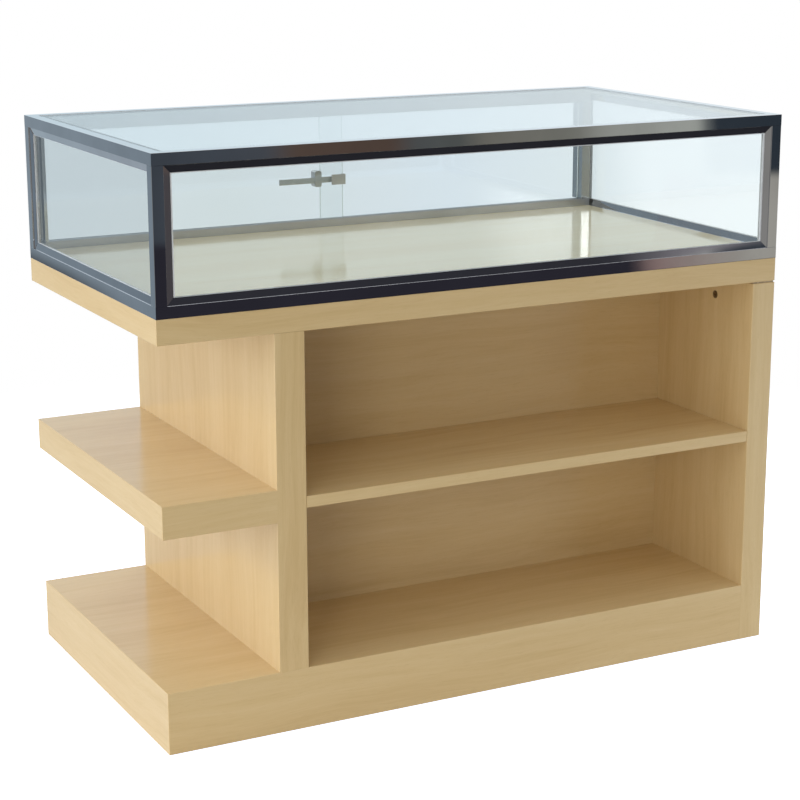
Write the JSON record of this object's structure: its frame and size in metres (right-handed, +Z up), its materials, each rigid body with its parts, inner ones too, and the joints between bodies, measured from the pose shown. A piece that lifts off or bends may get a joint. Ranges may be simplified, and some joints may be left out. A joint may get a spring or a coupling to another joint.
{
  "type": "glass display showcase",
  "caption": "Retail display counter with a low metal-framed glass case on a light wood base, with open front and end shelves and sliding rear doors.",
  "frame": {"origin": "on the floor under the middle of the counter's footprint", "axes": "+X along the counter towards the end panel, away from the open end shelves; +Y from the customer side to the staff side; +Z up"},
  "size_m": [1.2, 0.64, 0.99],
  "materials": {
    "oak_laminate": "light oak woodgrain laminate, satin",
    "core_wood": "raw softwood and chipboard, unfinished",
    "deck_laminate": "pale laminate, glossy",
    "polished_steel": "polished stainless steel, mirror bright",
    "anodised_aluminium": "satin anodised",
    "zinc_steel": "zinc plated",
    "lock_chrome": "bright plated",
    "clear_glass": "clear float glass, polished edges",
    "clear_seal": "milky clear glazing gasket",
    "nylon": "natural nylon"
  },
  "bodies": {
    "counter": {"base_board": "oak_laminate", "plinth_front_board": "oak_laminate", "plinth_rear_board": "oak_laminate", "plinth_left_board": "oak_laminate", "plinth_cross_rails": "core_wood", "left_panel_skins": "oak_laminate", "right_panel_skins": "oak_laminate", "panel_edging": "oak_laminate", "core_battens": "core_wood", "divider_board": "oak_laminate", "end_shelf_top_board": "oak_laminate", "end_shelf_bottom_board": "oak_laminate", "end_shelf_edging": "oak_laminate", "slab_top_board": "oak_laminate", "slab_underside_panel": "oak_laminate", "slab_edging": "oak_laminate", "slab_spacers": "core_wood", "front_shelf": "oak_laminate", "rear_shelf": "oak_laminate", "shelf_pins": "zinc_steel", "cam_locks": "zinc_steel", "cam_bolts": "zinc_steel", "dowels": "core_wood", "carcass_screws": "zinc_steel", "cupboard_lower_track": "anodised_aluminium", "cupboard_upper_track": "anodised_aluminium", "bottom_rail_front": "polished_steel", "bottom_rail_rear": "polished_steel", "bottom_rail_left": "polished_steel", "bottom_rail_right": "polished_steel", "top_rail_front": "polished_steel", "top_rail_rear": "polished_steel", "top_rail_left": "polished_steel", "top_rail_right": "polished_steel", "corner_posts": "polished_steel", "corner_keys": "nylon", "frame_screws": "zinc_steel", "front_glass": "clear_glass", "left_glass": "clear_glass", "right_glass": "clear_glass", "top_glass": "clear_glass", "top_glass_ledges": "anodised_aluminium", "outer_beads": "polished_steel", "inner_beads": "polished_steel", "glass_seals": "clear_seal", "display_deck": "deck_laminate", "lower_door_track": "anodised_aluminium", "upper_door_track": "anodised_aluminium", "door_jambs": "anodised_aluminium"},
    "glass_door_left": {"glass_door_left": "clear_glass", "door_glides_left": "nylon", "lock_bar": "lock_chrome"},
    "glass_door_right": {"glass_door_right": "clear_glass", "door_glides_right": "nylon"},
    "lock_barrel": {"lock_barrel": "lock_chrome"},
    "lock_plug": {"lock_plug": "lock_chrome"},
    "cupboard_door_left": {"cupboard_door_left": "oak_laminate", "finger_cup_left": "anodised_aluminium"},
    "cupboard_door_right": {"cupboard_door_right": "oak_laminate", "finger_cup_right": "anodised_aluminium"}
  },
  "joints": [
    {"name": "glass_door_left_slide", "type": "slide", "parent": "counter", "child": "glass_door_left", "axis": [1, 0, 0], "range_m": [0, 0.52]},
    {"name": "glass_door_right_slide", "type": "slide", "parent": "counter", "child": "glass_door_right", "axis": [-1, 0, 0], "range_m": [0, 0.42]},
    {"name": "lock_barrel_slide", "type": "slide", "parent": "glass_door_right", "child": "lock_barrel", "axis": [-1, 0, 0], "range_m": [0, 0.09]},
    {"name": "lock_plug_turn", "type": "hinge", "parent": "lock_barrel", "child": "lock_plug", "pos_m": [-0.035, 0.299, 0.8425], "axis": [0, 1, 0], "range_deg": [0, 90]},
    {"name": "cupboard_door_left_slide", "type": "slide", "parent": "counter", "child": "cupboard_door_left", "axis": [1, 0, 0], "range_m": [0, 0.41]},
    {"name": "cupboard_door_right_slide", "type": "slide", "parent": "counter", "child": "cupboard_door_right", "axis": [-1, 0, 0], "range_m": [0, 0.41]}
  ]
}
